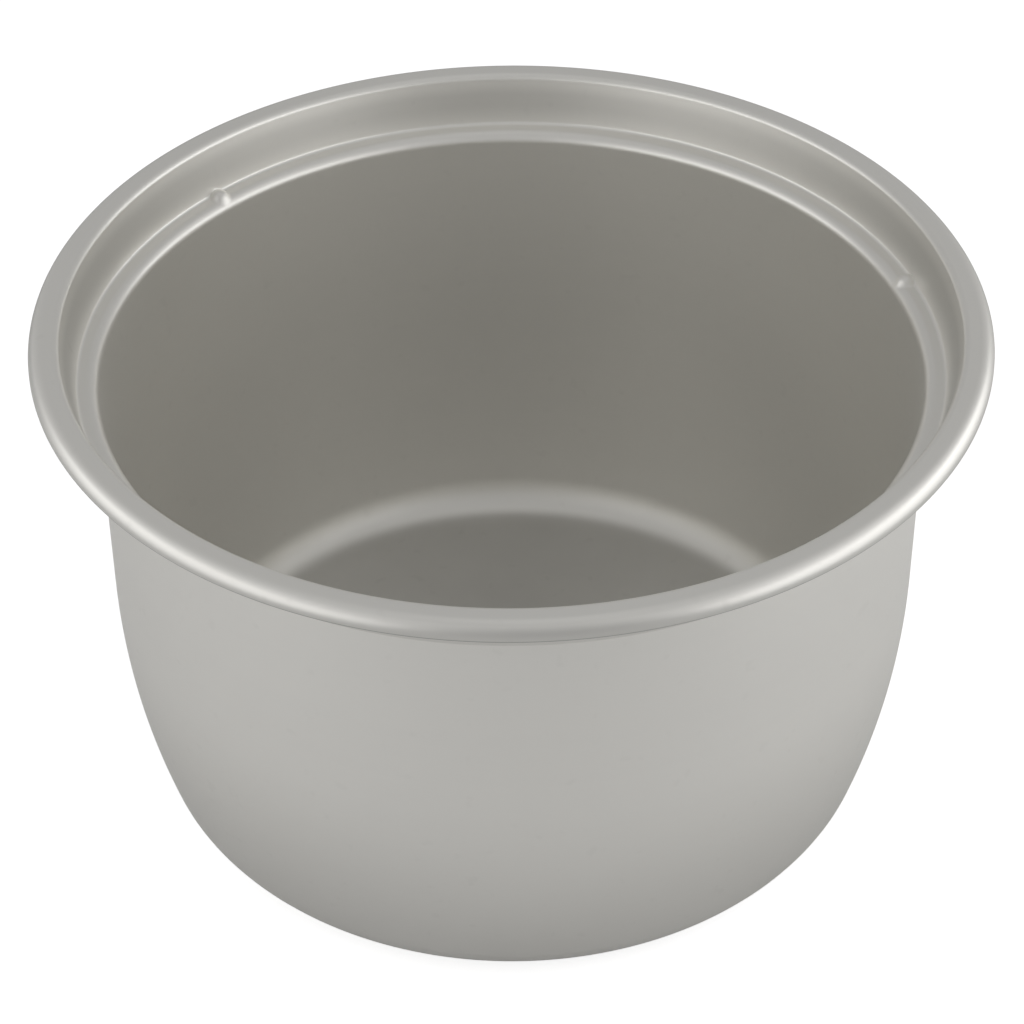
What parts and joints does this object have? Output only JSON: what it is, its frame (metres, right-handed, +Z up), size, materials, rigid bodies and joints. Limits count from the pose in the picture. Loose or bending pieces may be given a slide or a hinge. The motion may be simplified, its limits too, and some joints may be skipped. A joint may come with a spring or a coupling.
{
  "type": "rice cooker inner pot",
  "caption": "Round inner pot of a rice cooker in satin aluminium: turned-down lip, flat flange, leaning collar, ledge with stand-off dimples, and a body that narrows to a flat base.",
  "frame": {"origin": "centre of the underside of the base, on the pot's axis", "axes": "+Z up along the pot's axis, towards the mouth; +X to the right and +Y to the back as the pot is shown"},
  "size_m": [0.242, 0.242, 0.1405],
  "materials": {
    "satin_aluminium": "satin, fine matt blasted and clear anodised"
  },
  "bodies": {
    "root": {"inner_pot": "satin_aluminium"}
  },
  "joints": []
}
